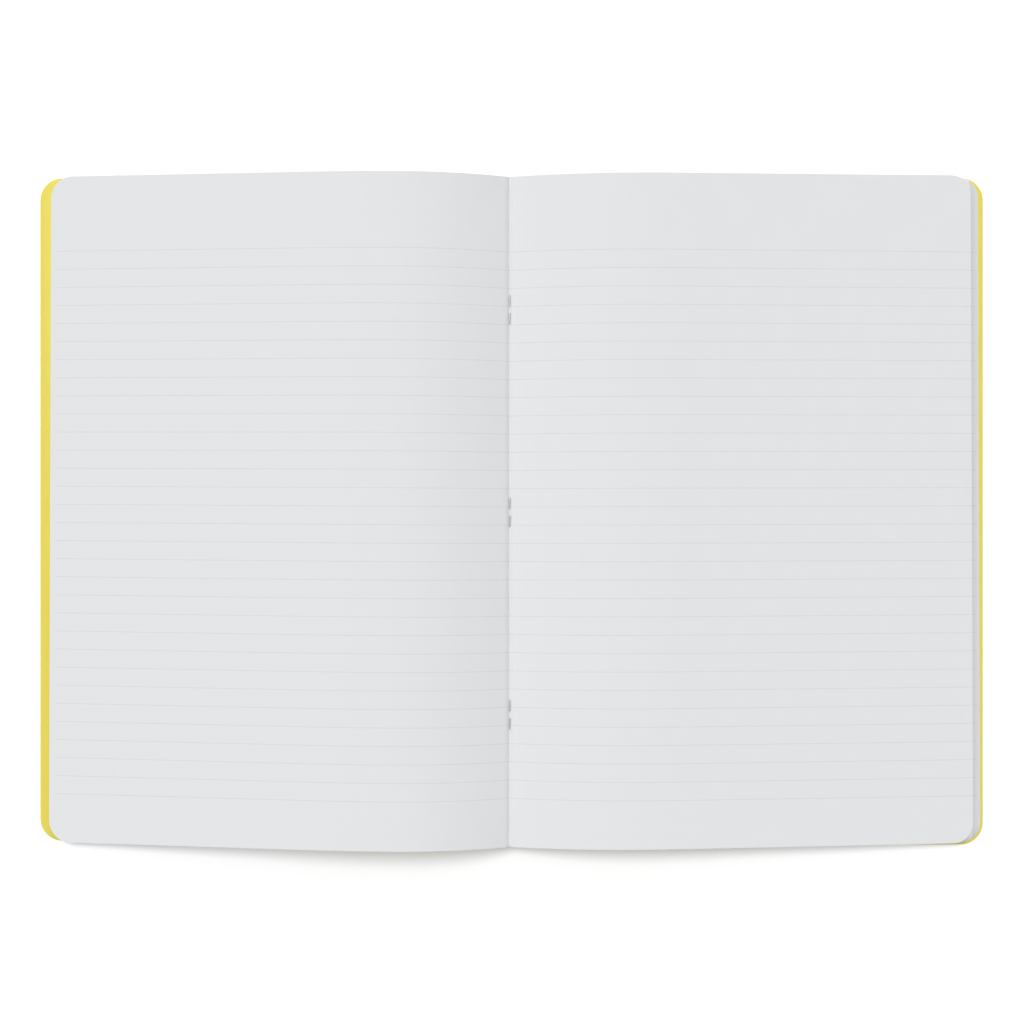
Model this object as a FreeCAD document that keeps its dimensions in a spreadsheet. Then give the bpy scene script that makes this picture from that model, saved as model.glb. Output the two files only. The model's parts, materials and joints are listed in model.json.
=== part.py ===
"""Open, saddle-stitched composition notebook lying flat at its middle sheet.

Frame: X runs across the spread, +Y towards the head of the page, +Z up.
The origin is on the surface that the book lies on, below the middle of its outline.
Each half is drawn as a section across the spread and padded to the height of the page.
In a section, x is the reach outward from the fold and y is the height above the surface.
"""
import FreeCAD, Part
import math
import os

import Sketcher

SIZES = [
    ("page_height", 256.4, "trimmed height of card and paper"),
    ("front_cover_reach", 181.85, "fold to the fore edge of the front cover, as it lies"),
    ("back_cover_reach", 182.45, "fold to the fore edge of the back cover"),
    ("card_thickness", 0.35, "cover card"),
    ("corner_radius", 8.5, "rounded outer corners, cut through card and paper"),
    ("spine_lift", 3.2, "underside of the spine above the surface"),
    ("bridge_reach", 45.0, "fold to the top of the bow in a cover"),
    ("front_bridge_height", 8.0, "top of the bow under the front cover"),
    ("back_bridge_height", 6.0, "top of the bow under the back cover"),
    ("landing_reach", 122.0, "fold to where a cover comes down flat"),
    ("front_hollow_run", 33.24, "hollow at the foot of the bow, before the front cover lies flat"),
    ("back_hollow_run", 20.893, "hollow at the foot of the bow, before the back cover lies flat"),
    ("fold_thickness", 3.2, "all sheets, pressed together at the fold"),
    ("edge_thickness", 3.0, "all sheets, lying on each other at the fore edge"),
    ("front_leaf_reach", 177.15, "fold to the fore edge of the top left page"),
    ("back_leaf_reach", 177.5, "fold to the fore edge of the top right page"),
    ("front_fan", 0.6, "how far the lowest left leaf stands out past the top one"),
    ("back_fan", 3.6, "how far the lowest right leaf stands out past the top one"),
    ("front_crest_reach", 43.35, "fold to the top of the left page's swell"),
    ("front_crest_rise", 10.8, "top of the left page's swell above the gutter"),
    ("front_fall_radius", 277.0, "roundness of the left page beyond its swell"),
    ("back_crest_reach", 45.05, "fold to the top of the right page's swell"),
    ("back_crest_rise", 6.9, "top of the right page's swell above the gutter"),
    ("back_fall_radius", 230.0, "roundness of the right page beyond its swell"),
    ("fold_clearance", 0.1, "play between the two halves at the fold"),
    ("wire_diameter", 0.55, "staple wire"),
    ("wire_bend", 0.4, "bend of the staple wire, at its middle line"),
    ("staple_length", 11.5, "staple over its legs"),
    ("staple_pitch", 77.6, "staple to staple along the spine"),
    ("clinch_length", 4.4, "turned-in end of a staple leg"),
    ("wire_clearance", 0.06, "play round the staple wire"),
    ("gutter_clearance", 0.1, "play of the turned-in legs in the gutter"),
]
STAPLES = 3
GUTTER = "(Sizes.spine_lift + Sizes.card_thickness + Sizes.fold_thickness)"
SLOT_RADIUS = "Sizes.wire_diameter / 2 + Sizes.wire_clearance"
LEG = "(Sizes.staple_length - Sizes.wire_diameter) / 2"
CROWN_CORNER = "Sizes.wire_bend * (2 - sqrt(2))"


def make_sheet(document):
    """Put the driving sizes into the document's spreadsheet, one named cell each."""
    sheet = document.addObject("Spreadsheet::Sheet", "Sizes")
    for row, (alias, size, meaning) in enumerate(SIZES, start=1):
        sheet.set(f"A{row}", alias)
        sheet.set(f"B{row}", str(size))
        sheet.set(f"C{row}", meaning)
        sheet.setAlias(f"B{row}", alias)
    document.recompute()
    return sheet


class Section:
    """A closed sketch drawn stretch by stretch, with its sizes bound to the sheet."""

    def __init__(self, body, name, plane, turned=False):
        self.sketch = body.newObject("Sketcher::SketchObject", name)
        self.sketch.AttachmentSupport = [(origin_plane(body, plane), "")]
        self.sketch.MapMode = "FlatFace"
        if turned:
            half_turn = FreeCAD.Rotation(FreeCAD.Vector(0, 1, 0), 180)
            self.sketch.AttachmentOffset = FreeCAD.Placement(FreeCAD.Vector(), half_turn)

    def value(self, rule):
        """Work a rule out from the sheet."""
        return float(self.sketch.evalExpression(rule))

    def line(self, first, last):
        """Add a straight stretch and return (its number, its first end, its last end)."""
        number = self.sketch.addGeometry(Part.LineSegment(point(first), point(last)), False)
        return number, 1, 2

    def arc(self, centre, first, last):
        """Add the shorter arc about a centre, and return it with its ends in drawing order."""
        radius = math.dist(centre, first)
        start = math.atan2(first[1] - centre[1], first[0] - centre[0])
        end = math.atan2(last[1] - centre[1], last[0] - centre[0])
        circle = Part.Circle(point(centre), FreeCAD.Vector(0, 0, 1), radius)
        forward = (end - start) % (2 * math.pi) < math.pi
        angles = (start, end) if forward else (end, start)
        number = self.sketch.addGeometry(Part.ArcOfCircle(circle, *angles), False)
        return (number, 1, 2) if forward else (number, 2, 1)

    def fix(self, kind, *where):
        """Add a constraint that has no size."""
        return self.sketch.addConstraint(Sketcher.Constraint(kind, *where))

    def size(self, name, kind, where, rule):
        """Add a named constraint whose size follows a rule on the sheet."""
        number = self.sketch.addConstraint(Sketcher.Constraint(kind, *where, self.value(rule)))
        self.sketch.renameConstraint(number, name)
        self.sketch.setExpression(f"Constraints.{name}", rule)

    def place(self, name, end, across, up):
        """Fix a point by its reach and height, each from a rule or on the axis if None."""
        if across is None:
            self.fix("PointOnObject", *end, -2)
        else:
            self.size(f"{name}_reach", "DistanceX", (-1, 1, *end), across)
        if up is None:
            self.fix("PointOnObject", *end, -1)
        else:
            self.size(f"{name}_height", "DistanceY", (-1, 1, *end), up)

    def join(self, before, after, smooth=False):
        """Join the last end of one stretch to the first end of the next."""
        kind = "Tangent" if smooth else "Coincident"
        self.fix(kind, before[0], before[2], after[0], after[1])


def point(flat):
    """Turn a pair of sketch coordinates into a vector."""
    return FreeCAD.Vector(flat[0], flat[1], 0)


def origin_plane(body, role):
    """Find one of the body's own origin planes."""
    return next(feature for feature in body.Origin.OriginFeatures if feature.Role == role)


def start_body(document, name):
    """Start a named body whose own X is measured from the fold."""
    body = document.addObject("PartDesign::Body", name)
    body.Label = name
    body.setExpression("Placement.Base.x", "(Sizes.front_cover_reach - Sizes.back_cover_reach) / 2")
    return body


def draw_bow(section, side, name, lift, reach):
    """Draw the curve of a cover: over the bow beside the spine, down, and flat to the fore edge.

    lift is the rule for the height above the underside, or None for the underside itself.
    """
    up = "0" if lift is None else lift
    rise = f"(Sizes.{side}_bridge_height - Sizes.spine_lift)"
    run = "(Sizes.bridge_reach - Sizes.fold_clearance / 2)"
    climb_rule = f"({run} * {run} + {rise} * {rise}) / (2 * {rise})"
    turn_rule = f"Sizes.landing_reach - Sizes.{side}_hollow_run"
    fold = section.value("Sizes.fold_clearance / 2")
    height = section.value(up)
    spine = section.value(f"Sizes.spine_lift + {up}")
    top = section.value(f"Sizes.{side}_bridge_height + {up}")
    bridge = section.value("Sizes.bridge_reach")
    landing = section.value("Sizes.landing_reach")
    both_radii = ((landing - bridge) ** 2 + (top - height) ** 2) / (2 * (top - height))
    share = (section.value(turn_rule) - bridge) / (landing - bridge)
    climb_centre = (bridge, top - section.value(climb_rule))
    over_centre = (bridge, top - share * both_radii)
    under_centre = (landing, height + (1 - share) * both_radii)
    turn = (
        over_centre[0] + share * (under_centre[0] - over_centre[0]),
        over_centre[1] + share * (under_centre[1] - over_centre[1]),
    )
    climb = section.arc(climb_centre, (fold, spine), (bridge, top))
    over = section.arc(over_centre, (bridge, top), turn)
    under = section.arc(under_centre, turn, (landing, height))
    flat = section.line((landing, height), (section.value(reach), height))
    for before, after in ((climb, over), (over, under), (under, flat)):
        section.join(before, after, smooth=True)
    section.fix("Horizontal", flat[0])
    spine_rule = "Sizes.spine_lift" if lift is None else f"Sizes.spine_lift + {lift}"
    section.place(f"{name}_spine", climb[:2], "Sizes.fold_clearance / 2", spine_rule)
    section.size(f"{name}_bridge", "DistanceX", (-1, 1, climb[0], 3), "Sizes.bridge_reach")
    section.size(f"{name}_bow", "Radius", (climb[0],), climb_rule)
    section.fix("Vertical", climb[0], climb[2], climb[0], 3)
    section.size(f"{name}_turn", "DistanceX", (-1, 1, *under[:2]), turn_rule)
    section.place(f"{name}_landing", flat[:2], "Sizes.landing_reach", lift)
    section.size(f"{name}_edge", "DistanceX", (-1, 1, flat[0], flat[2]), reach)
    return climb, flat


def pad_section(document, body, section):
    """Pad a section evenly to both sides, to the height of the page."""
    pad = body.newObject("PartDesign::Pad", f"{body.Name}_pad")
    pad.Profile = section.sketch
    pad.SideType = "Symmetric"
    pad.setExpression("Length", "Sizes.page_height")
    document.recompute()
    return pad


def round_corners(document, body, turned, reach, lift, fan):
    """Round the outer corners at head and tail with a cutter that leans as the leaves fan out.

    reach is the rule for the fore edge at the lowest leaf, lift the rule for that leaf's
    height, or None on the surface, and fan the rule for how far the fore edge leans in.
    """
    cutter = Section(body, f"{body.Name}_cutter", "XY_Plane", turned)
    if lift is not None:
        side = "-" if turned else ""
        cutter.sketch.setExpression("AttachmentOffset.Base.z", f"{side}({lift})")
    across = f"{reach} - Sizes.corner_radius"
    along = "Sizes.page_height / 2 - Sizes.corner_radius"
    radius = cutter.value("Sizes.corner_radius")
    centre = (cutter.value(across), cutter.value(along))
    edge = centre[0] + radius
    head = centre[1] + radius
    clear_edge = edge + radius
    clear_head = head + radius
    round_cut = cutter.arc(centre, (edge, centre[1]), (centre[0], head))
    corners = [(centre[0], head), (centre[0], clear_head), (clear_edge, clear_head)]
    corners += [(clear_edge, centre[1]), (edge, centre[1])]
    outline = [round_cut] + [cutter.line(*ends) for ends in zip(corners, corners[1:])]
    for before, after in zip(outline, outline[1:] + outline[:1]):
        cutter.join(before, after)
    for number, kind in enumerate(("Vertical", "Horizontal", "Vertical", "Horizontal"), start=1):
        cutter.fix(kind, outline[number][0])
    cutter.fix("Horizontal", *round_cut[:2], round_cut[0], 3)
    cutter.fix("Vertical", round_cut[0], round_cut[2], round_cut[0], 3)
    cutter.size("corner", "Radius", (round_cut[0],), "Sizes.corner_radius")
    cutter.place("centre", (round_cut[0], 3), across, along)
    far = (outline[2][0], outline[2][2])
    beyond_edge = f"{reach} + Sizes.corner_radius"
    cutter.place("clear", far, beyond_edge, "Sizes.page_height / 2 + Sizes.corner_radius")
    document.recompute()

    pocket = body.newObject("PartDesign::Pocket", f"{body.Name}_corner")
    pocket.Profile = cutter.sketch
    pocket.Type = "ThroughAll"
    pocket.SideType = "Symmetric"
    pocket.UseCustomVector = True
    pocket.setExpression("Direction.x", fan if turned else f"-({fan})")
    pocket.Direction = FreeCAD.Vector(pocket.Direction.x, 0, 1)
    pocket.setExpression("Direction.z", "Sizes.edge_thickness")
    document.recompute()

    mirror = body.newObject("PartDesign::Mirrored", f"{body.Name}_corners")
    mirror.Originals = [pocket]
    mirror.MirrorPlane = (origin_plane(body, "XZ_Plane"), [""])
    body.Tip = mirror
    document.recompute()
    return mirror


def cut_leg_slots(document, body):
    """Cut the slots in the fold face that the staple legs stand in."""
    slots = Section(body, f"{body.Name}_slots", "XY_Plane")
    radius = slots.value(SLOT_RADIUS)
    for name, sign in (("head", "-"), ("tail", "+")):
        along = f"Sizes.staple_pitch {sign} {LEG}"
        centre = FreeCAD.Vector(0, -slots.value(along), 0)
        circle = Part.Circle(centre, FreeCAD.Vector(0, 0, 1), radius)
        number = slots.sketch.addGeometry(circle, False)
        slots.fix("PointOnObject", number, 3, -2)
        slots.size(f"{name}_leg", "DistanceY", (number, 3, -1, 1), along)
        slots.size(f"{name}_slot", "Radius", (number,), SLOT_RADIUS)
    pocket = body.newObject("PartDesign::Pocket", f"{body.Name}_pocket")
    pocket.Profile = slots.sketch
    pocket.Type = "ThroughAll"
    pocket.SideType = "Symmetric"
    document.recompute()
    return pocket


def repeat_along_spine(document, body, feature, guide, axis):
    """Repeat a feature at each staple along the spine, which is an axis of the guide sketch."""
    pattern = body.newObject("PartDesign::LinearPattern", f"{body.Name}_pattern")
    pattern.Originals = [feature]
    pattern.Direction = (guide, [axis])
    pattern.Occurrences = STAPLES
    pattern.setExpression("Length", f"Sizes.staple_pitch * {STAPLES - 1}")
    body.Tip = pattern
    document.recompute()


def make_cover(document, side, turned):
    """Make one half of the folded card cover."""
    body = start_body(document, f"{side}_cover")
    section = Section(body, f"{side}_cover_section", "XZ_Plane", turned)
    reach = f"Sizes.{side}_cover_reach"
    under_spine, under_edge = draw_bow(section, side, "under", None, reach)
    top_spine, top_edge = draw_bow(section, side, "top", "Sizes.card_thickness", reach)
    fold = section.value("Sizes.fold_clearance / 2")
    edge = section.value(reach)
    card = section.value("Sizes.card_thickness")
    spine = section.value("Sizes.spine_lift")
    fore_edge = section.line((edge, 0), (edge, card))
    fold_face = section.line((fold, spine + card), (fold, spine))
    section.join(under_edge, fore_edge)
    section.fix("Coincident", fore_edge[0], fore_edge[2], top_edge[0], top_edge[2])
    section.fix("Coincident", top_spine[0], top_spine[1], fold_face[0], fold_face[1])
    section.join(fold_face, under_spine)
    pad_section(document, body, section)
    round_corners(document, body, turned, reach, None, "0")
    slots = cut_leg_slots(document, body)
    repeat_along_spine(document, body, slots, slots.Profile[0], "V_Axis")
    return body


def make_leaves(document, side, turned):
    """Make one half of the folded sheets as the block of paper that lies in the cover."""
    body = start_body(document, f"{side}_leaves")
    section = Section(body, f"{side}_leaves_section", "XZ_Plane", turned)
    lowest_reach = f"Sizes.{side}_leaf_reach + Sizes.{side}_fan"
    crest_rule = f"{GUTTER} + Sizes.{side}_crest_rise"
    across = f"Sizes.{side}_crest_reach"
    rise = f"Sizes.{side}_crest_rise"
    swell_rule = f"({across} * {across} + {rise} * {rise}) / (2 * {rise})"
    channel_rule = "Sizes.wire_diameter + Sizes.gutter_clearance"
    edge_rule = "Sizes.card_thickness + Sizes.edge_thickness"
    spine, lowest = draw_bow(section, side, "card", "Sizes.card_thickness", lowest_reach)

    gutter = section.value(GUTTER)
    crest = (section.value(across), section.value(crest_rule))
    swell_radius = section.value(swell_rule)
    fall_radius = section.value(f"Sizes.{side}_fall_radius")
    channel = section.value(channel_rule)
    fold = section.value("Sizes.fold_clearance / 2")
    card = section.value("Sizes.card_thickness")
    spine_top = section.value("Sizes.spine_lift + Sizes.card_thickness")
    edge_top = (section.value(f"Sizes.{side}_leaf_reach"), section.value(edge_rule))
    swell_centre = (crest[0], crest[1] - swell_radius)
    fall_centre = (crest[0], crest[1] - fall_radius)
    lip = circle_meeting((0, gutter), channel, swell_centre, swell_radius)
    channel_end = (fold, gutter - math.sqrt(channel**2 - fold**2))
    leave = tangent_from(edge_top, fall_centre, fall_radius)

    fore_edge = section.line((section.value(lowest_reach), card), edge_top)
    tail = section.line(edge_top, leave)
    fall = section.arc(fall_centre, leave, crest)
    swell = section.arc(swell_centre, crest, lip)
    hollow = section.arc((0, gutter), lip, channel_end)
    fold_face = section.line(channel_end, (fold, spine_top))
    section.join(lowest, fore_edge)
    section.join(fore_edge, tail)
    section.join(tail, fall, smooth=True)
    section.join(fall, swell, smooth=True)
    section.join(swell, hollow)
    section.join(hollow, fold_face)
    section.join(fold_face, spine)
    section.fix("Vertical", fold_face[0])
    section.place("top_edge", tail[:2], f"Sizes.{side}_leaf_reach", edge_rule)
    section.size("fall", "Radius", (fall[0],), f"Sizes.{side}_fall_radius")
    section.place("crest", swell[:2], across, crest_rule)
    section.size("swell_centre", "DistanceX", (-1, 1, swell[0], 3), across)
    section.size("swell", "Radius", (swell[0],), swell_rule)
    section.place("gutter", (hollow[0], 3), None, GUTTER)
    section.size("channel", "Radius", (hollow[0],), channel_rule)
    pad_section(document, body, section)
    round_corners(document, body, turned, lowest_reach, "Sizes.card_thickness", f"Sizes.{side}_fan")
    slots = cut_leg_slots(document, body)
    repeat_along_spine(document, body, slots, slots.Profile[0], "V_Axis")
    return body


def circle_meeting(first_centre, first_radius, second_centre, second_radius):
    """Find where two circles meet, on the side away from the fold."""
    apart = math.dist(first_centre, second_centre)
    along = (apart**2 + first_radius**2 - second_radius**2) / (2 * apart)
    off = math.sqrt(first_radius**2 - along**2)
    run = (second_centre[0] - first_centre[0]) / apart
    rise = (second_centre[1] - first_centre[1]) / apart
    return (
        first_centre[0] + along * run - off * rise,
        first_centre[1] + along * rise + off * run,
    )


def tangent_from(outside, centre, radius):
    """Find where the line from a point beyond the crest touches the top of a circle."""
    run = outside[0] - centre[0]
    rise = outside[1] - centre[1]
    towards = math.atan2(rise, run)
    angle = towards + math.acos(radius / math.hypot(run, rise))
    return centre[0] + radius * math.cos(angle), centre[1] + radius * math.sin(angle)


def make_staples(document):
    """Make the wire staples: crown outside the spine, legs through it, ends turned in."""
    body = start_body(document, "staples")
    path = Section(body, "staples_path", "YZ_Plane")
    clinch_rule = f"{GUTTER} - Sizes.wire_diameter / 2 - Sizes.gutter_clearance / 2"
    crown_rule = "Sizes.spine_lift - Sizes.wire_diameter / 2 - Sizes.gutter_clearance / 2"
    tip_rule = "(Sizes.staple_length / 2 - Sizes.clinch_length)"
    clinch = path.value(clinch_rule)
    crown = path.value(crown_rule)
    leg = path.value(LEG)
    tip = path.value(tip_rule)
    pitch = path.value("Sizes.staple_pitch")
    bend = path.value("Sizes.wire_bend")
    corner = path.value(CROWN_CORNER)

    near, far = -pitch - leg, -pitch + leg
    tail_end = path.line((-pitch - tip, clinch), (near + bend, clinch))
    tail_turn = path.arc((near + bend, clinch - bend), (near + bend, clinch), (near, clinch - bend))
    tail_leg = path.line((near, clinch - bend), (near, crown + corner))
    tail_foot = path.line((near, crown + corner), (near + corner, crown))
    back = path.line((near + corner, crown), (far - corner, crown))
    head_foot = path.line((far - corner, crown), (far, crown + corner))
    head_leg = path.line((far, crown + corner), (far, clinch - bend))
    head_turn = path.arc((far - bend, clinch - bend), (far, clinch - bend), (far - bend, clinch))
    head_end = path.line((far - bend, clinch), (-pitch + tip, clinch))
    run = [tail_end, tail_turn, tail_leg, tail_foot, back, head_foot, head_leg, head_turn, head_end]
    feet = (tail_foot, head_foot)
    for before, after in zip(run, run[1:]):
        path.join(before, after, smooth=before not in feet and after not in feet)
    for turn in (tail_turn, head_turn):
        path.size(f"bend_{turn[0]}", "Radius", (turn[0],), "Sizes.wire_bend")
    path.size("tail_foot_reach", "DistanceX", (*tail_foot[:2], *back[:2]), CROWN_CORNER)
    path.size("tail_foot_height", "DistanceY", (*back[:2], *tail_foot[:2]), CROWN_CORNER)
    path.size("head_foot_reach", "DistanceX", (*head_foot[:2], *head_leg[:2]), CROWN_CORNER)
    path.size("head_foot_height", "DistanceY", (*head_foot[:2], *head_leg[:2]), CROWN_CORNER)
    path.fix("Horizontal", tail_end[0])
    path.fix("Vertical", tail_leg[0])
    path.fix("Horizontal", back[0])
    path.fix("Vertical", head_leg[0])
    path.fix("Horizontal", head_end[0])
    path.size("tail_tip", "DistanceX", (*tail_end[:2], -1, 1), f"Sizes.staple_pitch + {tip_rule}")
    path.size("head_tip", "DistanceX", (head_end[0], 2, -1, 1), f"Sizes.staple_pitch - {tip_rule}")
    path.size("tail_clinch", "DistanceY", (-1, 1, *tail_end[:2]), clinch_rule)
    path.size("head_clinch", "DistanceY", (-1, 1, head_end[0], 2), clinch_rule)
    path.size("tail_leg", "DistanceX", (*tail_leg[:2], -1, 1), f"Sizes.staple_pitch + {LEG}")
    path.size("head_leg", "DistanceX", (*head_leg[:2], -1, 1), f"Sizes.staple_pitch - {LEG}")
    path.size("crown", "DistanceY", (-1, 1, *back[:2]), crown_rule)

    wire = Section(body, "staples_wire", "XZ_Plane")
    wire_radius = wire.value("Sizes.wire_diameter / 2")
    circle = Part.Circle(point((0, clinch)), FreeCAD.Vector(0, 0, 1), wire_radius)
    number = wire.sketch.addGeometry(circle, False)
    wire.place("wire", (number, 3), None, clinch_rule)
    wire.size("wire", "Radius", (number,), "Sizes.wire_diameter / 2")
    wire.sketch.setExpression("AttachmentOffset.Base.z", f"Sizes.staple_pitch + {tip_rule}")
    document.recompute()

    pipe = body.newObject("PartDesign::AdditivePipe", "staples_pipe")
    pipe.Profile = wire.sketch
    pipe.Spine = (path.sketch, [])
    pipe.Transition = "Right corner"
    document.recompute()
    repeat_along_spine(document, body, pipe, path.sketch, "H_Axis")
    return body


def check(document, parts):
    """Stop if a feature failed or a piece isn't one valid shape."""
    for thing in document.Objects:
        if "Invalid" in thing.State or "Error" in thing.State:
            raise RuntimeError(f"{thing.Name} failed: {thing.State}")
    for body in parts:
        if body.Shape.isNull() or not body.Shape.isValid():
            raise RuntimeError(f"{body.Label} has no valid shape")


def main():
    """Build the notebook and write each piece to its own file."""
    document = FreeCAD.newDocument("notebook")
    make_sheet(document)
    parts = []
    for side, turned in (("front", True), ("back", False)):
        parts.append(make_cover(document, side, turned))
        parts.append(make_leaves(document, side, turned))
    parts.append(make_staples(document))
    document.recompute()
    check(document, parts)
    os.makedirs("parts", exist_ok=True)
    for body in parts:
        box = body.Shape.BoundBox
        print(body.Label, len(body.Shape.Solids), round(body.Shape.Volume, 2), box)
        body.Shape.exportStep(f"parts/{body.Label}.step")


main()
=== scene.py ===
"""The finish of an open, stapled notebook: ruled sheets, a yellow card cover and steel staples.

Everything is in metres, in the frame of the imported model: X across the spread, +Y towards
the head of the page, +Z up. A reach is a distance outward from the fold.
"""
import json
import logging
import math
from collections.abc import Callable, Sequence
from dataclasses import dataclass, field
from enum import Enum
from operator import attrgetter

import bmesh
import bpy
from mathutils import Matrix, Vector


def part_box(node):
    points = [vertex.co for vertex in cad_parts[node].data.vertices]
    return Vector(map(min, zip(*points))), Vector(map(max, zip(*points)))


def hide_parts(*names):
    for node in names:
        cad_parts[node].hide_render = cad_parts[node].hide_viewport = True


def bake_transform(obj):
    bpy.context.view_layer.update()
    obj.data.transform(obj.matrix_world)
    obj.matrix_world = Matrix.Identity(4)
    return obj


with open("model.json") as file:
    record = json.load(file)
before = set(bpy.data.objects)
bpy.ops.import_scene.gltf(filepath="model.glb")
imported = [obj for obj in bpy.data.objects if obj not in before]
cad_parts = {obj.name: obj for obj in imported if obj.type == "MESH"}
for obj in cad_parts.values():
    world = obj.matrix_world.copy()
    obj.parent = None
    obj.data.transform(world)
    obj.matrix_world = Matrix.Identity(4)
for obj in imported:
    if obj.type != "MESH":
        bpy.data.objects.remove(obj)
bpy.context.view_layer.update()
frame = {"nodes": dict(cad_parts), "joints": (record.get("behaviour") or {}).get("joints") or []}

LOG = logging.getLogger("notebook")

FOLD_JOINT = next(joint for joint in frame["joints"] if joint["name"] == "cover_fold")
FOLD_X, _, GUTTER_Z = FOLD_JOINT["pos_m"]
MM = 0.001
NEAR = 0.01 * MM  # a vertex this close to an edge lies on it
CORNER_RADIUS = 8.5 * MM
CORNER_STRIP = 1.25  # width of the strip that holds the corners, in corner radii
BEND_WIDTH = 5.0 * MM  # where the bend at the fold begins, on either side
SMOOTH_ANGLE = math.radians(30)
FLAT_MAP = "flat"
WHITE = (1.0, 1.0, 1.0)
BLACK = (0.0, 0.0, 0.0)


class Side(Enum):
    """The two halves of the spread, by the way their reach points along X."""

    FRONT = -1
    BACK = 1

    @property
    def cover(self) -> str:
        """The name of the cover's node."""
        return f"{self.name.lower()}_cover"

    @property
    def leaves(self) -> str:
        """The name of the leaves' node."""
        return f"{self.name.lower()}_leaves"


def height_of(node: str) -> float:
    """How far a CAD node reaches from its tail edge to its head edge."""
    low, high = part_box(node)
    return high[1] - low[1]


# Work in edit mode


def leave_edit_mode() -> None:
    """Go back to object mode and deselect every object."""
    if bpy.context.object and bpy.context.object.mode != "OBJECT":
        bpy.ops.object.mode_set(mode="OBJECT")
    bpy.ops.object.select_all(action="DESELECT")


def work_on(piece: bpy.types.Object) -> None:
    """Make one object the only selected one, and the active one.

    Args:
        piece: the object to work on.
    """
    leave_edit_mode()
    piece.select_set(True)
    bpy.context.view_layer.objects.active = piece


def pick(piece: bpy.types.Object, wanted: Callable[[Vector], bool]) -> None:
    """Select the vertices that pass a test, with what lies between them, in edit mode.

    Args:
        piece: the object in edit mode.
        wanted: says whether a vertex at a place is selected.
    """
    bpy.ops.mesh.select_all(action="DESELECT")
    mesh = bmesh.from_edit_mesh(piece.data)
    for vertex in mesh.verts:
        vertex.select_set(wanted(vertex.co))
    mesh.select_flush(True)
    bmesh.update_edit_mesh(piece.data)


def finish_with(piece: bpy.types.Object, kind: str, **settings: object) -> None:
    """Add a modifier with its settings and apply it.

    Args:
        piece: the object to finish.
        kind: Blender's name for the modifier, such as SOLIDIFY.
        settings: values of the modifier's properties.
    """
    work_on(piece)
    modifier = piece.modifiers.new(kind.lower(), kind)
    for name, value in settings.items():
        setattr(modifier, name, value)
    bpy.ops.object.modifier_apply(modifier=modifier.name)


def join_all(pieces: Sequence[bpy.types.Object], name: str) -> bpy.types.Object:
    """Join several objects into one.

    Args:
        pieces: the objects, of which the first stays.
        name: the joined object's name.

    Returns:
        The joined object.
    """
    leave_edit_mode()
    for piece in pieces:
        piece.select_set(True)
    bpy.context.view_layer.objects.active = pieces[0]
    bpy.ops.object.join()
    joined = bpy.context.object
    joined.name = name
    joined.data.name = name
    return joined


# The section across the spread


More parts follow.
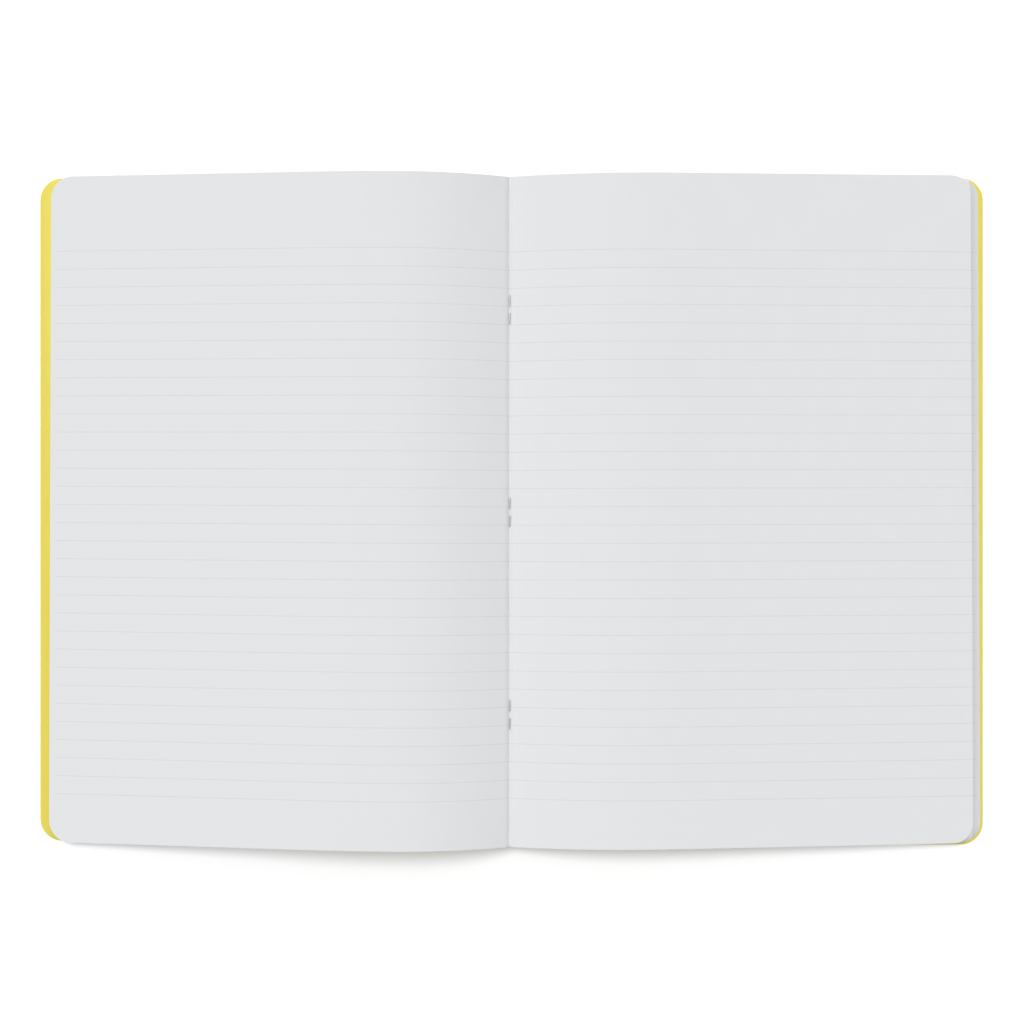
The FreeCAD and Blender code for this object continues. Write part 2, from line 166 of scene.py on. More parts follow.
@dataclass(frozen=True)
class Half:
    """One half of the spread, seen from the fold outward."""

    side: Side
    crest_reach: float
    fall_radius: float
    card: float = 0.35 * MM
    spine_lift: float = 3.2 * MM
    bridge_reach: float = 45.0 * MM
    landing_reach: float = 122.0 * MM
    edge_stack: float = 3.0 * MM
    fan: float = 0.0
    stand_off: float = 0.0
    stand_off_from: float = 110.0 * MM
    stand_off_before_edge: float = 10 * MM
    gutter_depth: float = 0.7 * MM
    gutter_reach: float = 1.0 * MM
    leaf_turn: float = 0.0
    low_leaf_turn: float = 0.0
    print_turn: float = 0.0
    cover_turn: float = 0.0

    @property
    def cover_reach(self) -> float:
        """Fold to the fore edge of the cover."""
        return max(abs(corner[0] - FOLD_X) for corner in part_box(self.side.cover))

    @property
    def lowest_reach(self) -> float:
        """Fold to the fore edge of the leaf next to the cover."""
        return max(abs(corner[0] - FOLD_X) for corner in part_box(self.side.leaves))

    @property
    def leaf_reach(self) -> float:
        """Fold to the fore edge of the top page."""
        return self.lowest_reach - self.fan

    @property
    def crest_height(self) -> float:
        """Height of the top page's swell."""
        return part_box(self.side.leaves)[1][2]

    @property
    def bridge_height(self) -> float:
        """Height of the bow under the cover."""
        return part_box(self.side.cover)[1][2] - self.card

    def underside(self, reach: float) -> float:
        """Height of the cover's underside.

        Args:
            reach: distance from the fold.

        Returns:
            The height above the surface that the book lies on.
        """
        rise = self.bridge_height - self.spine_lift
        over = (self.bridge_reach**2 + rise**2) / (2 * rise)
        span = self.landing_reach - self.bridge_reach
        both = (span**2 + self.bridge_height**2) / (2 * self.bridge_height)
        turn = self.bridge_reach + span * over / both
        if reach < turn:
            drop = over - math.sqrt(over**2 - (reach - self.bridge_reach) ** 2)
            return self.bridge_height - drop
        if reach < self.landing_reach:
            under = both - over
            return under - math.sqrt(under**2 - (self.landing_reach - reach) ** 2)
        return 0.0

    def gutter(self, reach: float) -> float:
        """Depth of the gutter, in which the turned-in staple legs lie.

        Args:
            reach: distance from the fold.

        Returns:
            How far the top page sinks below its swell.
        """
        return self.gutter_depth * max(0.0, 1 - (reach / self.gutter_reach) ** 2) ** 2

    def top_page(self, reach: float) -> float:
        """Height of the top page's swell, without the gutter.

        Args:
            reach: distance from the fold.

        Returns:
            The height above the surface that the book lies on.
        """
        rise = self.crest_height - GUTTER_Z
        from_crest = reach - self.crest_reach
        if reach < self.crest_reach:
            swell = (self.crest_reach**2 + rise**2) / (2 * rise)
            return self.crest_height - swell + math.sqrt(swell**2 - from_crest**2)
        leave, slope = self.straight_run
        if reach < leave:
            fall = self.fall_radius
            return self.crest_height - fall + math.sqrt(fall**2 - from_crest**2)
        return self.card + self.edge_stack + slope * (self.leaf_reach - reach)

    @property
    def straight_run(self) -> tuple[float, float]:
        """Where the top page runs straight on to its fore edge, and how steeply it falls."""
        run = self.leaf_reach - self.crest_reach
        rise = self.card + self.edge_stack - (self.crest_height - self.fall_radius)
        turn = math.atan2(rise, run) + math.acos(self.fall_radius / math.hypot(run, rise))
        return self.crest_reach + self.fall_radius * math.cos(turn), 1 / math.tan(turn)

    def on_card(self, reach: float) -> float:
        """Height of the lowest sheet, which lies on the cover.

        Args:
            reach: distance from the fold.

        Returns:
            The height above the surface that the book lies on.
        """
        return self.underside(reach) + self.card

    def on_top(self, reach: float) -> float:
        """Height of the open page: its swell, with the gutter sunk into it.

        Args:
            reach: distance from the fold.

        Returns:
            The height above the surface that the book lies on.
        """
        return self.top_page(reach) - self.gutter(reach)

    def under_top(self, reach: float) -> float:
        """Height of the stack below the open page, which stands off it near its fore edge.

        Args:
            reach: distance from the fold.

        Returns:
            The height above the surface that the book lies on.
        """
        far = self.leaf_reach - self.stand_off_before_edge
        share = (reach - self.stand_off_from) / (far - self.stand_off_from)
        share = min(1.0, max(0.0, share))
        return self.on_top(reach) - self.stand_off * share * share * (3 - 2 * share)


FRONT = Half(
    Side.FRONT,
    crest_reach=43.35 * MM,
    fall_radius=277.0 * MM,
    fan=0.6 * MM,
    stand_off=0.25 * MM,
    gutter_reach=1.4 * MM,
    leaf_turn=0.0057,
    low_leaf_turn=0.0057,
    print_turn=0.0059,
    cover_turn=0.0054,
)
BACK = Half(
    Side.BACK,
    crest_reach=45.05 * MM,
    fall_radius=230.0 * MM,
    fan=3.6 * MM,
    stand_off=0.7 * MM,
    leaf_turn=0.0061,
    low_leaf_turn=0.0042,
    print_turn=0.0027,
    cover_turn=0.0016,
)


@dataclass
class FoldedStrip:
    """A flat piece of stock laid across the fold, drawn out strip by strip along its section."""

    name: str
    front_reach: float
    back_reach: float
    height: float
    front_corner: float
    back_corner: float
    lie: Callable[[Half, float], float]
    turn: Callable[[Half], float]
    steps: int = 60
    closeness: float = 2.0
    corner_steps: int = 10

    def reaches(self, outer: float) -> list[float]:
        """Give the distances from the fold at which the section bends, closer near the fold.

        Args:
            outer: reach of the fore edge.

        Returns:
            Distances from the fold outward, ending at the fore edge.
        """
        plain = outer - CORNER_STRIP * self.front_corner
        shares = [(step / self.steps) ** self.closeness for step in range(1, self.steps + 1)]
        return [plain * share for share in shares] + [outer]

    def section(self) -> list[Vector]:
        """Work out the section's points from the front fore edge to the back one.

        Returns:
            Points in the plane across the spread.
        """
        front = [self.place(FRONT, reach) for reach in self.reaches(self.front_reach)]
        back = [self.place(BACK, reach) for reach in self.reaches(self.back_reach)]
        return front[::-1] + [self.place(BACK, 0.0)] + back

    def place(self, half: Half, reach: float) -> Vector:
        """Work out one point of the section, a little nearer the head the further out it is.

        Args:
            half: the half of the spread.
            reach: distance from the fold.

        Returns:
            The point.
        """
        across = FOLD_X + half.side.value * reach
        return Vector((across, self.turn(half) * reach, self.lie(half, reach)))

    def draw(self) -> bpy.types.Object:
        """Model the stock: a plane drawn out across the spread, with its corners rounded.

        Returns:
            A surface with no thickness.
        """
        leave_edit_mode()
        points = self.section()
        first = points[0]
        width = points[1].x - first.x
        middle = (first.x + width / 2, first.y, first.z)
        bpy.ops.mesh.primitive_plane_add(size=1.0, location=middle)
        piece = bpy.context.object
        piece.name = self.name
        piece.scale = (width, self.height, 1)
        bpy.ops.object.transform_apply(location=True, rotation=False, scale=True)
        bpy.ops.object.mode_set(mode="EDIT")
        pick(piece, lambda place: place.x > first.x + width / 2)
        bpy.ops.transform.translate(value=(0, points[1].y - first.y, points[1].z - first.z))
        for before, after in zip(points[1:], points[2:]):
            bpy.ops.mesh.extrude_region_move(TRANSFORM_OT_translate={"value": after - before})
        for end, radius in ((points[0].x, self.front_corner), (points[-1].x, self.back_corner)):
            pick(piece, lambda place: abs(place.x - end) < NEAR)
            bpy.ops.mesh.bevel(
                affect="VERTICES",
                offset=radius,
                offset_type="OFFSET",
                segments=self.corner_steps,
                profile=0.5,
            )
        bpy.ops.mesh.select_all(action="SELECT")
        bpy.ops.mesh.normals_make_consistent(inside=False)
        leave_edit_mode()
        return piece


def map_flat(piece: bpy.types.Object, turn: Callable[[Half], float]) -> None:
    """Give a piece a UV map in metres: U across the spread from the fold, V up the page.

    Args:
        piece: the piece, as it lies open.
        turn: how far each half of it rises towards the head, for each metre of reach.
    """
    layer = piece.data.uv_layers.get(FLAT_MAP) or piece.data.uv_layers.new(name=FLAT_MAP)
    for loop in piece.data.loops:
        place = piece.data.vertices[loop.vertex_index].co
        across = place.x - FOLD_X
        half = FRONT if across < 0 else BACK
        layer.data[loop.index].uv = (across, place.y - turn(half) * abs(across))
    for other in [layer for layer in piece.data.uv_layers if layer.name != FLAT_MAP]:
        piece.data.uv_layers.remove(other)


# Finishes


@dataclass
class NodeSheet:
    """Places shader nodes and links them."""

    tree: bpy.types.NodeTree

    def add(self, kind: str, **settings: object) -> bpy.types.Node:
        """Add a node.

        Args:
            kind: Blender's class of node.
            settings: the node's own properties.

        Returns:
            The new node.
        """
        node = self.tree.nodes.new(kind)
        for name, value in settings.items():
            setattr(node, name, value)
        return node

    def math(self, operation: str, *values: object) -> bpy.types.NodeSocket:
        """Add a math node.

        Args:
            operation: Blender's name for the operation.
            values: numbers or sockets, one for each input.

        Returns:
            The result's socket.
        """
        node = self.add("ShaderNodeMath", operation=operation)
        for socket, value in zip(node.inputs, values):
            self.feed(socket, value)
        return node.outputs[0]

    def mix(self, factor: object, first: object, second: object) -> bpy.types.NodeSocket:
        """Mix two colours.

        Args:
            factor: share of the second colour, a number or a socket.
            first: a colour or a socket.
            second: a colour or a socket.

        Returns:
            The mixed colour's socket.
        """
        node = self.add("ShaderNodeMix", data_type="RGBA")
        self.feed(node.inputs[0], factor)
        self.feed(node.inputs[6], first)
        self.feed(node.inputs[7], second)
        return node.outputs[2]

    def split(self, place: bpy.types.NodeSocket) -> tuple[bpy.types.NodeSocket, ...]:
        """Split a place on the flat stock.

        Args:
            place: the place's socket.

        Returns:
            The sockets of how far it lies across the spread and up the page.
        """
        node = self.add("ShaderNodeSeparateXYZ")
        self.feed(node.inputs[0], place)
        return node.outputs[0], node.outputs[1]

    def effect(
        self,
        group: bpy.types.NodeTree,
        place: bpy.types.NodeSocket,
        values: dict[str, float],
    ) -> bpy.types.Node:
        """Place one of the effects.

        Args:
            group: the effect's node group.
            place: the socket of the place on the surface.
            values: a value for each of the effect's other inputs.

        Returns:
            The effect's node.
        """
        node = self.add("ShaderNodeGroup", node_tree=group)
        self.feed(node.inputs["Vector"], place)
        for label, value in values.items():
            node.inputs[label].default_value = value
        return node

    def raise_relief(
        self,
        shader: bpy.types.Node,
        relief: bpy.types.NodeSocket,
        strength: float,
        depth: float,
    ) -> None:
        """Give a shader's surface a fine relief.

        Args:
            shader: the shader.
            relief: the socket of the relief, from 0 to 1.
            strength: the bump's strength.
            depth: the relief's depth in metres.
        """
        bump = self.add("ShaderNodeBump")
        bump.inputs["Strength"].default_value = strength
        bump.inputs["Distance"].default_value = depth
        self.feed(bump.inputs["Height"], relief)
        self.feed(shader.inputs["Normal"], bump.outputs[0])

    def seen_ray(self) -> bpy.types.NodeSocket:
        """Tell the rays by which a surface is seen, also mirrored, from those that light it.

        Returns:
            A socket that is 1 for camera, glossy and transmission rays, and 0 for others.
        """
        path = self.add("ShaderNodeLightPath")
        seen = path.outputs["Is Camera Ray"]
        for ray in ("Is Glossy Ray", "Is Transmission Ray"):
            seen = self.math("MAXIMUM", seen, path.outputs[ray])
        return seen

    def feed(self, socket: bpy.types.NodeSocket, value: object) -> None:
        """Link a socket, or set its value.

        Args:
            socket: the input.
            value: a socket to link, a number, or a colour.
        """
        if isinstance(value, bpy.types.NodeSocket):
            self.tree.links.new(value, socket)
        elif isinstance(value, tuple) and len(value) == 3 and socket.type == "RGBA":
            socket.default_value = (*value, 1.0)
        else:
            socket.default_value = value


def start_group(
    name: str,
    inputs: dict[str, float],
    outputs: Sequence[str],
) -> tuple[NodeSheet, bpy.types.Node, bpy.types.Node]:
    """Start a shader node group with a place, Vector, and named numbers.

    Args:
        name: the group's name.
        inputs: first value of each number that goes in.
        outputs: the names of the numbers that come out.

    Returns:
        The group's nodes, its input node and its output node.
    """
    tree = bpy.data.node_groups.new(name, "ShaderNodeTree")
    tree.interface.new_socket("Vector", in_out="INPUT", socket_type="NodeSocketVector")
    for label, value in inputs.items():
        socket = tree.interface.new_socket(label, in_out="INPUT", socket_type="NodeSocketFloat")
        socket.default_value = value
    for label in outputs:
        tree.interface.new_socket(label, in_out="OUTPUT", socket_type="NodeSocketFloat")
    return NodeSheet(tree), tree.nodes.new("NodeGroupInput"), tree.nodes.new("NodeGroupOutput")


def make_fibre_group() -> bpy.types.NodeTree:
    """Build the fibre effect of paper and card: cloudy formation and fine felt-like relief.

    Returns:
        A group with outputs Cloud and Relief, both from 0 to 1.
    """
    nodes, given, result = start_group(
        "fibre",
        {"Cloud size": 10.0 * MM, "Fibre size": 0.5 * MM, "Grain": 1.0},
        ("Cloud", "Relief"),
    )
    stretch = nodes.add("ShaderNodeCombineXYZ")
    stretch.inputs[0].default_value = 1.0
    stretch.inputs[2].default_value = 1.0
    nodes.feed(stretch.inputs[1], nodes.math("DIVIDE", 1.0, given.outputs["Grain"]))
    along = nodes.add("ShaderNodeVectorMath", operation="MULTIPLY")
    nodes.feed(along.inputs[0], given.outputs["Vector"])
    nodes.feed(along.inputs[1], stretch.outputs[0])
    for label, size, detail, roughness, distortion in (
        ("Cloud", "Cloud size", 5.0, 0.6, 0.0),
        ("Relief", "Fibre size", 3.0, 0.7, 0.6),
    ):
        noise = nodes.add("ShaderNodeTexNoise")
        noise.inputs["Detail"].default_value = detail
        noise.inputs["Roughness"].default_value = roughness
        noise.inputs["Distortion"].default_value = distortion
        nodes.feed(noise.inputs["Vector"], along.outputs[0])
        nodes.feed(noise.inputs["Scale"], nodes.math("DIVIDE", 1.0, given.outputs[size]))
        nodes.feed(result.inputs[label], noise.outputs["Fac"])
    return nodes.tree


def make_painted_fan_shade_group() -> bpy.types.NodeTree:
    """Build the painted shade on the narrow margins that the lower leaves show beside the open
    page.

    Returns:
        A group with an output Shade, from 0 on the open page to 1 right beside its fore edge.
    """
    nodes, given, result = start_group(
        "fan",
        {
            "Edge": 177.0 * MM,
            "Lean": 0.0,
            "Width": 3.6 * MM,
            "Leaf": 0.3 * MM,
            "Fade": 0.55,
            "Leaf contrast": 0.8,
            "Leaf shade": 0.6,
        },
        ("Shade",),
    )
    # painted shade: darkest right beside the open page's fore edge, fading outward, uneven from
    # leaf to leaf
    across, up = nodes.split(given.outputs["Vector"])
    lean = nodes.math("MULTIPLY", up, given.outputs["Lean"])
    beyond = nodes.math("SUBTRACT", across, nodes.math("SUBTRACT", given.outputs["Edge"], lean))
    started = nodes.math("GREATER_THAN", beyond, 0.0)
    share = nodes.math("DIVIDE", beyond, given.outputs["Width"])
    fading = nodes.math("SUBTRACT", 1.0, nodes.math("MULTIPLY", share, given.outputs["Fade"]))
    leaves = nodes.add("ShaderNodeTexNoise", noise_dimensions="1D")
    leaves.inputs["Detail"].default_value = 1.0
    nodes.feed(leaves.inputs["W"], nodes.math("DIVIDE", beyond, given.outputs["Leaf"]))
    uneven = nodes.math(
        "MULTIPLY_ADD",
        leaves.outputs["Fac"],
        given.outputs["Leaf contrast"],
        given.outputs["Leaf shade"],
    )
    shade = nodes.math("MULTIPLY", nodes.math("MULTIPLY", started, fading), uneven)
    nodes.feed(result.inputs["Shade"], nodes.math("MAXIMUM", shade, 0.0))
    return nodes.tree


def make_ruling_group() -> bpy.types.NodeTree:
    """Build the printed ruling: even lines across the page, from the first line down.

    Returns:
        A group with an output Ink from 0 to 1.
    """
    nodes, given, result = start_group(
        "ruling",
        {
            "Pitch": 7.0 * MM,
            "Width": 0.25 * MM,
            "First line": 100.0 * MM,
            "Lines": 31.0,
            "From": -200.0 * MM,
            "To": 200.0 * MM,
        },
        ("Ink",),
    )
    across, up = nodes.split(given.outputs["Vector"])
    below = nodes.math("SUBTRACT", given.outputs["First line"], up)
    count = nodes.math("DIVIDE", below, given.outputs["Pitch"])
    nearest = nodes.math("ROUND", count)
    off_line = nodes.math("ABSOLUTE", nodes.math("SUBTRACT", count, nearest))
    distance = nodes.math("MULTIPLY", off_line, given.outputs["Pitch"])
    half_width = nodes.math("MULTIPLY", given.outputs["Width"], 0.5)
    on_line = nodes.math("LESS_THAN", distance, half_width)
    started = nodes.math("GREATER_THAN", nearest, -0.5)
    last = nodes.math("SUBTRACT", given.outputs["Lines"], 0.5)
    unfinished = nodes.math("LESS_THAN", nearest, last)
    past_left = nodes.math("GREATER_THAN", across, given.outputs["From"])
    before_right = nodes.math("LESS_THAN", across, given.outputs["To"])
    ink = on_line
    for limit in (started, unfinished, past_left, before_right):
        ink = nodes.math("MULTIPLY", ink, limit)
    nodes.feed(result.inputs["Ink"], ink)
    return nodes.tree


@dataclass(frozen=True)
class Effects:
    """The effects that finishes are made of, one node group each."""

    fibre: bpy.types.NodeTree = field(default_factory=make_fibre_group)
    ruling: bpy.types.NodeTree = field(default_factory=make_ruling_group)
    # painted shade on the lower leaves' margins beside the open page
    fan: bpy.types.NodeTree = field(default_factory=make_painted_fan_shade_group)


@dataclass(frozen=True)
class Finish:
    """What every finish of the notebook has."""

    name: str

    def start(self) -> tuple[bpy.types.Material, NodeSheet, bpy.types.Node]:
        """Start the finish's material.

        Returns:
            The material, its nodes and its shader.
        """
        material = bpy.data.materials.new(self.name)
        material.use_nodes = True
        nodes = NodeSheet(material.node_tree)
        shader = material.node_tree.nodes["Principled BSDF"]
        return material, nodes, shader


@dataclass(frozen=True)
class WritingPaper(Finish):
    """White writing paper with a faint grey ruling on both sides, and painted shade beside the
    open page.
    """

    paper: tuple[float, float, float] = (0.805, 0.813, 0.829)
    shade: tuple[float, float, float] = (0.785, 0.793, 0.809)
    ink: tuple[float, float, float] = (0.685, 0.700, 0.715)
    pitch: float = 6.963 * MM
    line_width: float = 0.24 * MM
    head_margin: float = 28.8 * MM
    lines: int = 31
    ink_strength: float = 0.72
    ink_unevenness: float = 0.35
    front_blank: float = 2.2 * MM
    back_blank: float = 1.3 * MM
    # strength of the painted shade on the lower leaves' margins
    painted_shade_strength: float = 0.17
    cloud_size: float = 9.0 * MM
    fibre_size: float = 0.45 * MM
    grain: float = 1.8
    roughness: float = 0.82
    gloss: float = 0.28
    relief_strength: float = 0.12
    relief_depth: float = 0.02 * MM

    def material(self, effects: Effects, lean: float) -> bpy.types.Material:
        """Build the paper.

        Args:
            effects: the effects that finishes are made of.
            lean: how far the fore edge leans in, for each metre up the page.

        Returns:
            The material.
        """
        material, nodes, shader = self.start()
        flat = nodes.add("ShaderNodeUVMap", uv_map=FLAT_MAP).outputs[0]
        felt = nodes.effect(
            effects.fibre,
            flat,
            {"Cloud size": self.cloud_size, "Fibre size": self.fibre_size, "Grain": self.grain},
        )
        print_run = nodes.effect(
            effects.ruling,
            flat,
            {
                "Pitch": self.pitch,
                "Width": self.line_width,
                "First line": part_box("back_leaves")[1][1] - self.head_margin,
                "Lines": self.lines,
                "From": self.front_blank - FRONT.leaf_reach,
                "To": BACK.lowest_reach - self.back_blank,
            },
        )
        # painted shade on the lower leaves' margins beside the open page's fore edge
        fan = nodes.effect(
            effects.fan,
            flat,
            {"Edge": BACK.leaf_reach, "Lean": lean, "Width": BACK.fan},
        )
        relief = felt.outputs["Relief"]
        body = nodes.mix(felt.outputs["Cloud"], self.shade, self.paper)
        uneven = nodes.math("MULTIPLY_ADD", relief, self.ink_unevenness, self.ink_strength)
        inked = nodes.math("MULTIPLY", print_run.outputs["Ink"], uneven)
        page = nodes.mix(inked, body, self.ink)
        # darken the page towards black by the painted shade
        painted_fan_shade = nodes.math("MULTIPLY", fan.outputs["Shade"], self.painted_shade_strength)
        nodes.feed(shader.inputs["Base Color"], nodes.mix(painted_fan_shade, page, BLACK))
        shader.inputs["Roughness"].default_value = self.roughness
        shader.inputs["Specular IOR Level"].default_value = self.gloss
        nodes.raise_relief(shader, relief, self.relief_strength, self.relief_depth)
        return material


@dataclass(frozen=True)
class CoverCard(Finish):
    """Yellow cover card, dyed through, with a fine grain up the page and a worn spine."""

    card: tuple[float, float, float] = (0.848, 0.739, 0.113)
    streak: tuple[float, float, float] = (0.784, 0.668, 0.086)
    worn: tuple[float, float, float] = (0.88, 0.80, 0.36)
    crease_width: float = 1.6 * MM
    cloud_size: float = 2.2 * MM
    fibre_size: float = 0.35 * MM
    grain: float = 5.0
    roughness: float = 0.55
    gloss: float = 0.4
    relief_strength: float = 0.2
    relief_depth: float = 0.03 * MM

    def material(self, effects: Effects) -> bpy.types.Material:
        """Build the card.

        Args:
            effects: the effects that finishes are made of.

        Returns:
            The material.
        """
        material, nodes, shader = self.start()
        flat = nodes.add("ShaderNodeUVMap", uv_map=FLAT_MAP).outputs[0]
        felt = nodes.effect(
            effects.fibre,
            flat,
            {"Cloud size": self.cloud_size, "Fibre size": self.fibre_size, "Grain": self.grain},
        )
        relief = felt.outputs["Relief"]
        across, _ = nodes.split(flat)
        crease = nodes.add("ShaderNodeMapRange", interpolation_type="SMOOTHSTEP")
        nodes.feed(crease.inputs["Value"], nodes.math("ABSOLUTE", across))
        crease.inputs["From Min"].default_value = 0.0
        crease.inputs["From Max"].default_value = self.crease_width
        crease.inputs["To Min"].default_value = 1.0
        crease.inputs["To Max"].default_value = 0.0
        rubbed = nodes.math("MULTIPLY", crease.outputs[0], relief)
        body = nodes.mix(felt.outputs["Cloud"], self.streak, self.card)
        nodes.feed(shader.inputs["Base Color"], nodes.mix(rubbed, body, self.worn))
        shader.inputs["Roughness"].default_value = self.roughness
        shader.inputs["Specular IOR Level"].default_value = self.gloss
        nodes.raise_relief(shader, relief, self.relief_strength, self.relief_depth)
        return material


@dataclass(frozen=True)
class StapleWire(Finish):
    """Bright drawn steel wire with faint marks along it."""

    steel: tuple[float, float, float] = (0.58, 0.58, 0.59)
    dull: tuple[float, float, float] = (0.46, 0.46, 0.47)
    mark_size: float = 0.8 * MM
    scratch_size: float = 0.06 * MM
    grain: float = 8.0
    roughness: float = 0.2
    scratch_roughness: float = 0.2

    def material(self, effects: Effects) -> bpy.types.Material:
        """Build the wire.

        Args:
            effects: the effects that finishes are made of, of which fibre gives the drawing marks.

        Returns:
            The material.
        """
        material, nodes, shader = self.start()
        marks = nodes.effect(
            effects.fibre,
            nodes.add("ShaderNodeTexCoord").outputs["Object"],
            {"Cloud size": self.mark_size, "Fibre size": self.scratch_size, "Grain": self.grain},
        )
        body = nodes.mix(marks.outputs["Cloud"], self.dull, self.steel)
        nodes.feed(shader.inputs["Base Color"], body)
        shader.inputs["Metallic"].default_value = 1.0
        scratched = nodes.math(
            "MULTIPLY_ADD",
            marks.outputs["Relief"],
            self.scratch_roughness,
            self.roughness,
        )
        nodes.feed(shader.inputs["Roughness"], scratched)
        return material


# The pieces


@dataclass
class Sheets:
    """The folded sheets, nested in each other from the card up to the open spread."""

    count: int = 30
    thickness: float = 0.08 * MM
    back_corner: float = 7.6 * MM
    uneven_trim: float = 0.05 * MM
    trim_turn: float = 2.4
    taper: float = 0.45 * MM
    finish: WritingPaper = field(default_factory=lambda: WritingPaper("writing_paper"))

    def draw_form(
        self,
        name: str,
        lie: Callable[[Half, float], float],
        topmost: bool,
    ) -> bpy.types.Object:
        """Draw one folded sheet in one of the forms that the sheets of the stack lie between.

        Args:
            name: the form's name.
            lie: its height in a half at a reach.
            topmost: whether its fore edges are those of the open page, or the lowest leaf's.

        Returns:
            The sheet, with no thickness yet.
        """
        stock = FoldedStrip(
            name=name,
            front_reach=FRONT.leaf_reach if topmost else FRONT.lowest_reach,
            back_reach=BACK.leaf_reach if topmost else BACK.lowest_reach,
            height=height_of(Side.BACK.leaves),
            front_corner=CORNER_RADIUS,
            back_corner=self.back_corner,
            lie=lie,
            turn=attrgetter("leaf_turn" if topmost else "low_leaf_turn"),
        )
        piece = stock.draw()
        work_on(piece)
        bpy.ops.object.mode_set(mode="EDIT")
        for end, towards in ((1, -1), (-1, 1)):
            pick(piece, lambda place: place.y * end > 0)
            ratio = 1 + towards * self.taper / BACK.lowest_reach
            bpy.ops.transform.resize(value=(ratio, 1, 1), center_override=(FOLD_X, 0, 0))
        leave_edit_mode()
        return piece

    def draw_masters(self) -> bpy.types.Object:
        """Draw the lowest sheet, and give it two more forms to turn to.

        Returns:
            The lowest sheet, with the shape keys "pressed", for the top of the stack that lies
            pressed together, and "open", for the open spread.
        """
        lowest = self.draw_form("sheet", Half.on_card, topmost=False)
        forms = [
            self.draw_form("pressed", Half.under_top, topmost=True),
            self.draw_form("open", Half.on_top, topmost=True),
        ]
        work_on(lowest)
        bpy.ops.object.shape_key_add(from_mix=False)
        for form in forms:
            work_on(lowest)
            form.select_set(True)
            bpy.ops.object.join_shapes()
            work_on(form)
            bpy.ops.object.delete()
        return lowest

    def lay(self, master: bpy.types.Object, number: int) -> bpy.types.Object:
        """Copy the drawn sheet and lay the copy at its level.

        Args:
            master: the lowest sheet, with its shape keys.
            number: 0 for the sheet next to the card.

        Returns:
            The copy, with a mesh of its own.
        """
        sheet = master.copy()
        sheet.data = master.data.copy()
        sheet.name = f"sheet_{number}"
        bpy.context.collection.objects.link(sheet)
        form = "open" if number == self.count - 1 else "pressed"
        level = (number + 0.5) / self.count
        sheet.data.shape_keys.key_blocks[form].value = level
        work_on(sheet)
        bpy.ops.object.shape_key_remove(all=True, apply_mix=True)
        bpy.ops.object.mode_set(mode="EDIT")
        for half in (FRONT, BACK):
            outward = half.side.value
            corner = half.lowest_reach - level * half.fan - CORNER_STRIP * CORNER_RADIUS
            beyond = corner + 2 * self.taper
            pick(sheet, lambda place: (place.x - FOLD_X) * outward > beyond)
            trim = self.uneven_trim * math.sin(self.trim_turn * number + outward)
            lift = half.straight_run[1] * level * trim
            bpy.ops.transform.translate(value=(-outward * trim, 0, lift))
        leave_edit_mode()
        return sheet

    def build(self, effects: Effects) -> bpy.types.Object:
        """Model all the sheets as one piece that bends at the fold.

        Args:
            effects: the effects that finishes are made of.

        Returns:
            The piece.
        """
        master = self.draw_masters()
        sheets = [self.lay(master, number) for number in range(self.count)]
        work_on(master)
        bpy.ops.object.delete()
        piece = join_all(sheets, "ruled_sheets")
        finish_with(piece, "SOLIDIFY", thickness=self.thickness, offset=0.0, use_even_offset=True)
        lean = 2 * self.taper / (height_of(Side.BACK.leaves) - 2 * CORNER_RADIUS)
        give_finish(piece, self.finish.material(effects, lean), attrgetter("print_turn"))
        bend_at_fold(piece)
        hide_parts(Side.FRONT.leaves, Side.BACK.leaves)
        report(piece)
        return piece


@dataclass
class Cover:
    """The cover: one card, folded at the spine and carried up in a bow beside it."""

    out_of_square: float = 0.7 * MM
    edge_softness: float = 0.06 * MM
    edge_angle: float = math.radians(60)
    finish: CoverCard = field(default_factory=lambda: CoverCard("cover_card"))

    def build(self, effects: Effects) -> bpy.types.Object:
        """Model the card as one piece that bends at the fold.

        Args:
            effects: the effects that finishes are made of.

        Returns:
            The piece.
        """
        height = height_of(Side.BACK.cover)
        stock = FoldedStrip(
            name="folded_cover",
            front_reach=FRONT.cover_reach,
            back_reach=BACK.cover_reach,
            height=height,
            front_corner=CORNER_RADIUS,
            back_corner=CORNER_RADIUS,
            lie=lambda half, reach: half.underside(reach) + half.card / 2,
            turn=attrgetter("cover_turn"),
        )
        piece = stock.draw()
        work_on(piece)
        bpy.ops.object.mode_set(mode="EDIT")
        pick(piece, lambda place: place.x > FOLD_X + BEND_WIDTH)
        growth = 1 + self.out_of_square / height
        bpy.ops.transform.resize(value=(1, growth, 1), center_override=(0, 0, 0))
        leave_edit_mode()
        finish_with(piece, "SOLIDIFY", thickness=FRONT.card, offset=0.0, use_even_offset=True)
        finish_with(
            piece,
            "BEVEL",
            width=self.edge_softness,
            segments=2,
            limit_method="ANGLE",
            angle_limit=self.edge_angle,
        )
        give_finish(piece, self.finish.material(effects), attrgetter("cover_turn"))
        bend_at_fold(piece)
        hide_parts(Side.FRONT.cover, Side.BACK.cover)
        report(piece)
        return piece


@dataclass
class Staples:
    """The staples, which keep their solids and get the wire's finish."""

    finish: StapleWire = field(default_factory=lambda: StapleWire("staple_wire"))

    def dress(self, effects: Effects) -> None:
        """Give the solids the wire's finish.

        Args:
            effects: the effects that finishes are made of.
        """
        solids = frame["nodes"]["staples"]
        wire = self.finish.material(effects)
        for slot in solids.material_slots:
            slot.material = wire
        report(solids)


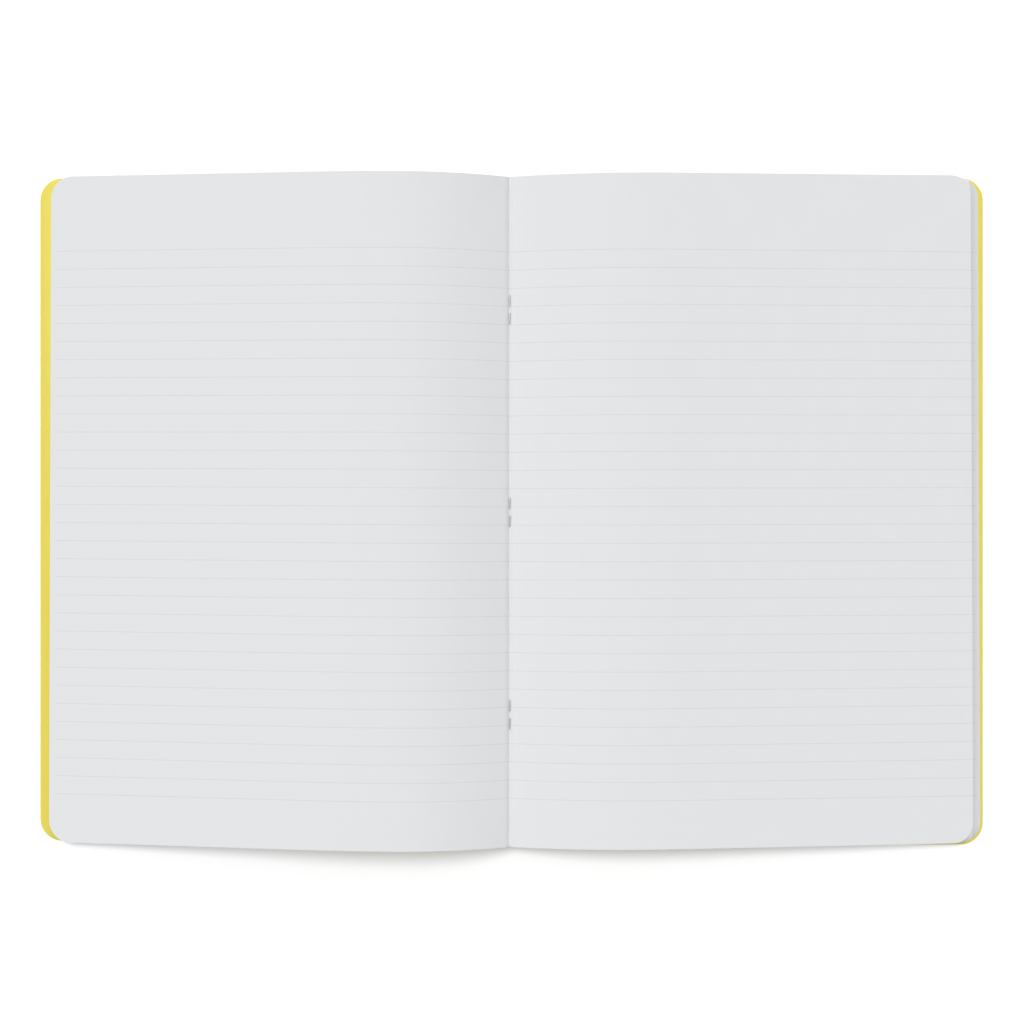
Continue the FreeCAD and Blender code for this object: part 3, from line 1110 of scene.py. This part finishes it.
def give_finish(
    piece: bpy.types.Object,
    material: bpy.types.Material,
    turn: Callable[[Half], float],
) -> None:
    """Give a folded piece its finish, and smooth its bends.

    Args:
        piece: the piece, as it lies open.
        material: the finish.
        turn: how far each half of the finish's pattern rises towards the head, for each metre.
    """
    map_flat(piece, turn)
    piece.data.materials.clear()
    piece.data.materials.append(material)
    work_on(piece)
    bpy.ops.object.shade_smooth_by_angle(angle=SMOOTH_ANGLE)


def bend_at_fold(piece: bpy.types.Object) -> None:
    """Bake the piece's placement into its mesh.

    Args:
        piece: the piece that crosses the fold.
    """
    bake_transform(piece)


def report(piece: bpy.types.Object) -> None:
    """Log a finished piece with its number of triangles.

    Args:
        piece: the finished piece.
    """
    piece.data.calc_loop_triangles()
    LOG.info("%s: %d triangles", piece.name, len(piece.data.loop_triangles))


# The studio


@dataclass(frozen=True)
class Lamp:
    """A far soft lamp, with its power for each square metre, and the rest in degrees."""

    name: str
    azimuth: float
    elevation: float
    strength: float
    softness: float

    def hang(self) -> None:
        """Hang the lamp, azimuth degrees from +X towards +Y and elevation degrees up."""
        bpy.ops.object.light_add(type="SUN", location=(0, 0, 1))
        lamp = bpy.context.object
        lamp.name = self.name
        lamp.data.energy = self.strength
        lamp.data.angle = math.radians(self.softness)
        lamp.rotation_euler = (0, math.radians(90 - self.elevation), math.radians(self.azimuth))


@dataclass
class Studio:
    """A white table, soft light from the left and the head side, and the camera above."""

    lamps: tuple[Lamp, ...] = (
        Lamp("window", azimuth=123, elevation=64.5, strength=1.41, softness=24),
        Lamp("fill", azimuth=95, elevation=35, strength=0.6, softness=30),
    )
    camera_place: tuple[float, float, float] = (4.7 * MM, 0.0, 650.0 * MM)
    aim: tuple[float, float, float] = (0.54 * MM, 0.0, 6.0 * MM)
    lens: float = 59.09
    sensor_width: float = 36.0
    sky: float = 0.447
    table_glow: float = 0.19
    table_bounce: float = 0.45
    floor_size: float = 6.0

    def build(self) -> None:
        """Set up the table, the lights and the camera."""
        bpy.context.scene.view_settings.view_transform = "Standard"
        self.lay_table()
        self.light_sky()
        for lamp in self.lamps:
            lamp.hang()
        self.place_camera()

    def lay_table(self) -> None:
        """Lay the white table, whose white doesn't come from more light."""
        leave_edit_mode()
        bpy.ops.mesh.primitive_plane_add(size=self.floor_size, location=(0, 0, 0))
        table = bpy.context.object
        table.name = "table"
        material = bpy.data.materials.new("white_table")
        material.use_nodes = True
        nodes = NodeSheet(material.node_tree)
        shader = material.node_tree.nodes["Principled BSDF"]
        seen = nodes.seen_ray()
        bounce = (self.table_bounce,) * 3
        nodes.feed(shader.inputs["Base Color"], nodes.mix(seen, bounce, WHITE))
        nodes.feed(shader.inputs["Emission Color"], WHITE)
        glow = nodes.math("MULTIPLY", seen, self.table_glow)
        nodes.feed(shader.inputs["Emission Strength"], glow)
        shader.inputs["Roughness"].default_value = 1.0
        shader.inputs["Specular IOR Level"].default_value = 0.0
        table.data.materials.append(material)

    def light_sky(self) -> None:
        """Light the world evenly, and show it white behind the table."""
        world = bpy.data.worlds.new("studio")
        bpy.context.scene.world = world
        world.use_nodes = True
        nodes = NodeSheet(world.node_tree)
        background = world.node_tree.nodes["Background"]
        nodes.feed(background.inputs["Color"], WHITE)
        strength = nodes.mix(nodes.seen_ray(), (self.sky,) * 3, WHITE)
        nodes.feed(background.inputs["Strength"], strength)

    def place_camera(self) -> None:
        """Place the camera over the spread, looking down at its middle."""
        bpy.ops.object.camera_add(location=self.camera_place)
        camera = bpy.context.object
        camera.name = "camera"
        aside = self.camera_place[0] - self.aim[0]
        drop = self.camera_place[2] - self.aim[2]
        camera.rotation_euler = (0, math.atan2(aside, drop), 0)
        camera.data.lens = self.lens
        camera.data.sensor_width = self.sensor_width
        bpy.context.scene.camera = camera


def main() -> None:
    """Build the notebook's pieces in order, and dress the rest."""
    logging.basicConfig(level=logging.INFO, format="%(name)s: %(message)s")
    effects = Effects()
    Cover().build(effects)
    Sheets().build(effects)
    Staples().dress(effects)
    Studio().build()


if __name__ == "__main__":
    main()
